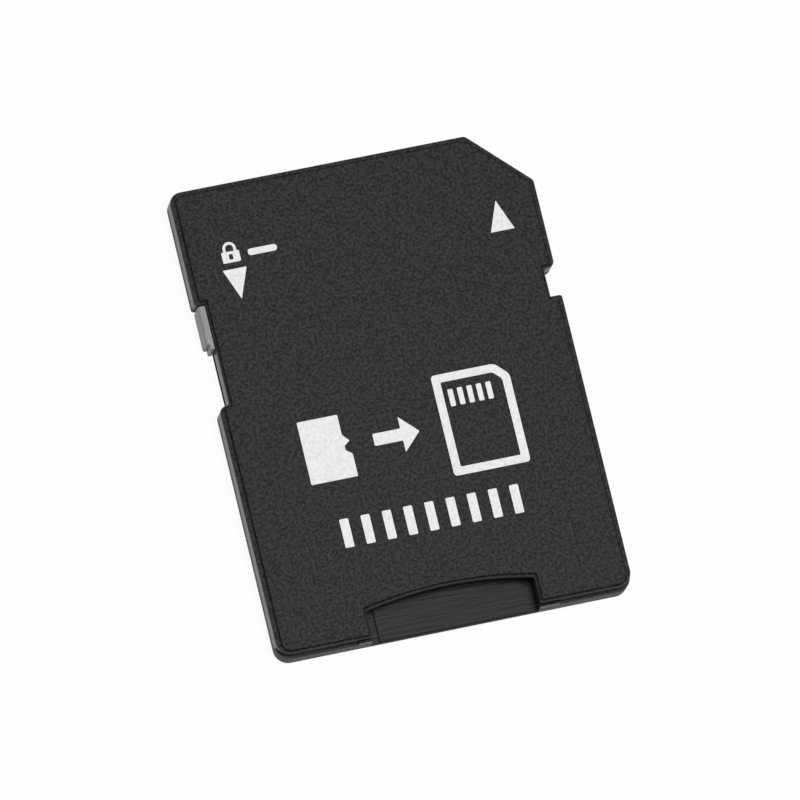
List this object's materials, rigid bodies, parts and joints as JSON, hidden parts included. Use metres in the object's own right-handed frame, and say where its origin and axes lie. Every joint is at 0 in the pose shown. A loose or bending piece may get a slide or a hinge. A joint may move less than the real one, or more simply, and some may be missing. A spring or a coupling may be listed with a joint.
{
  "type": "memory card adapter",
  "caption": "Flat case that carries a small memory card in a full-size card socket, with sprung contacts, a card slot and a sliding lock tab.",
  "frame": {"origin": "middle of the case's footprint, on the underside that it lies on", "axes": "+Z towards the label side, +Y towards the contact end, +X towards the side with the cut corner"},
  "size_m": [0.024, 0.032, 0.0021],
  "materials": {
    "case_label_side": "black, finely spark-eroded texture",
    "case_socket_side": "black, smoother moulded satin",
    "slider_grey": "light grey satin",
    "carrier_plastic": "black satin",
    "spring_steel": "bright rolled spring strip",
    "contact_gold": "gold-plated copper alloy strip"
  },
  "bodies": {
    "case": {"top_shell": "case_label_side", "bottom_shell": "case_socket_side", "contact_carrier": "carrier_plastic", "card_retainer": "spring_steel", "contact_data_2": "contact_gold", "contact_data_3": "contact_gold", "contact_command": "contact_gold", "contact_supply": "contact_gold", "contact_clock": "contact_gold", "contact_ground": "contact_gold", "contact_data_0": "contact_gold", "contact_data_1": "contact_gold"},
    "slider": {"lock_slider": "slider_grey"}
  },
  "joints": [
    {"name": "lock_slide", "type": "slide", "parent": "case", "child": "slider", "axis": [0, -1, 0], "range_m": [0, 0.00382]}
  ]
}
